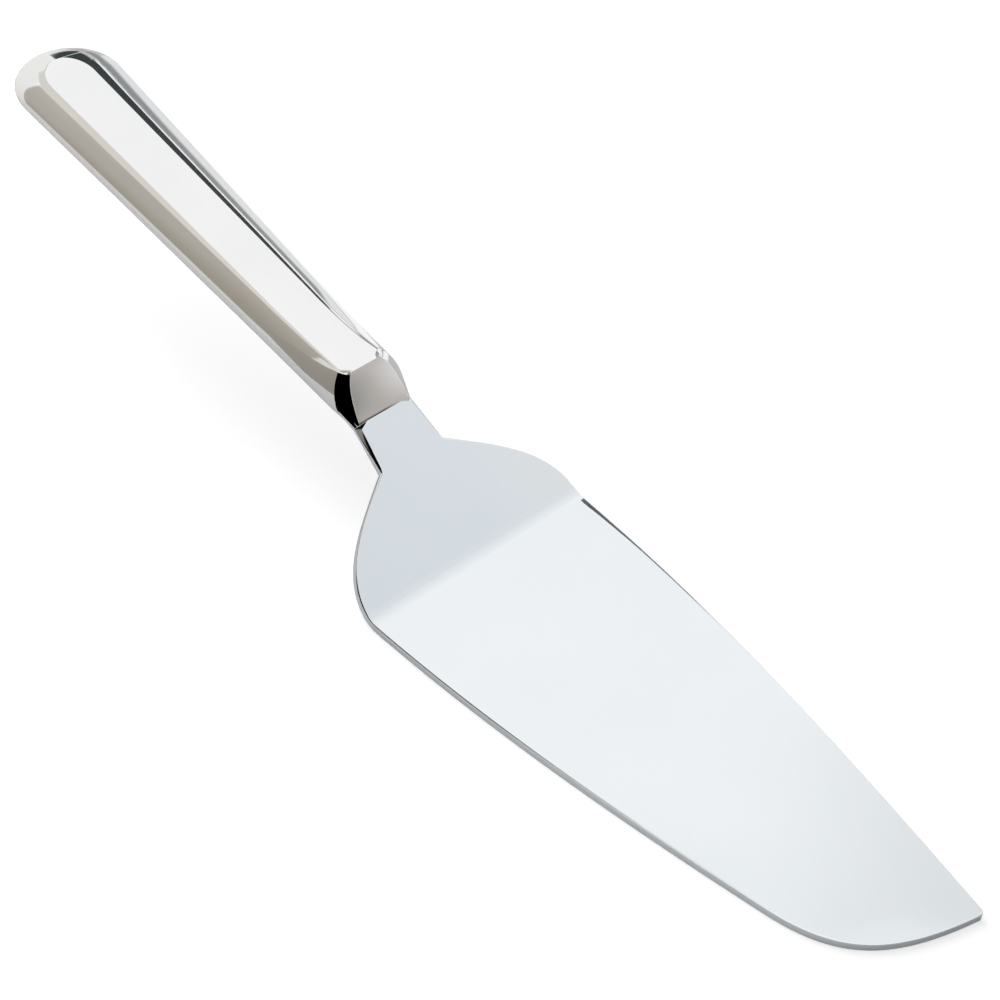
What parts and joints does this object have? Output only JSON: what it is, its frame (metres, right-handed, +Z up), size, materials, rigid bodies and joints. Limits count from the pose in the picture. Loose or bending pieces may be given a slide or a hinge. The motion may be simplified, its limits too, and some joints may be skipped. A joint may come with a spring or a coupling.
{
  "type": "serving spatula",
  "caption": "Polished steel cake server: cranked wedge blade with an offset tip, bolster neck and rising hollow handle with a flat facet along its top.",
  "frame": {"origin": "on the plane of the blade's underside, under the middle of the whole length and width", "axes": "+X along the centre line towards the blade's tip, +Y towards the side that holds the tip, +Z up from the blade's serving face"},
  "size_m": [0.268, 0.054, 0.046],
  "materials": {
    "blade_steel": "stainless steel sheet, fine polish with a faint cross grain",
    "handle_steel": "stainless steel, mirror polish",
    "cement": "cast resin cement, hidden"
  },
  "bodies": {
    "root": {"blade": "blade_steel", "bolster": "handle_steel", "handle_upper_shell": "handle_steel", "handle_lower_shell": "handle_steel", "handle_cement": "cement"}
  },
  "joints": []
}
